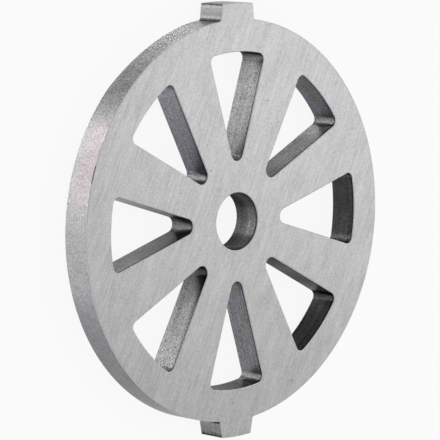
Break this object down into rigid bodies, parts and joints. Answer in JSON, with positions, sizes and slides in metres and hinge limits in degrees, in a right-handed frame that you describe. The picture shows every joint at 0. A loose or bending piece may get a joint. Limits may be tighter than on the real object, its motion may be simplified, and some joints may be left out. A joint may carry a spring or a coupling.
{
  "type": "meat grinder plate",
  "caption": "Flat round steel plate with a central bore, a ring of wedge-shaped holes and opposed rim lugs, through which a grinder's screw presses meat.",
  "frame": {"origin": "on the bore's axis, in the plane of the lower face that the plate lies on", "axes": "+Z along the bore, out of the upper face; +Y towards the upper lug, along the line through both lugs; +X to the right seen from above"},
  "size_m": [0.056, 0.0604, 0.0043],
  "materials": {
    "ground_steel": "faces surface-ground with fine parallel scratches, rim and hole walls duller and grainy"
  },
  "bodies": {
    "root": {"grinder_plate": "ground_steel"}
  },
  "joints": []
}
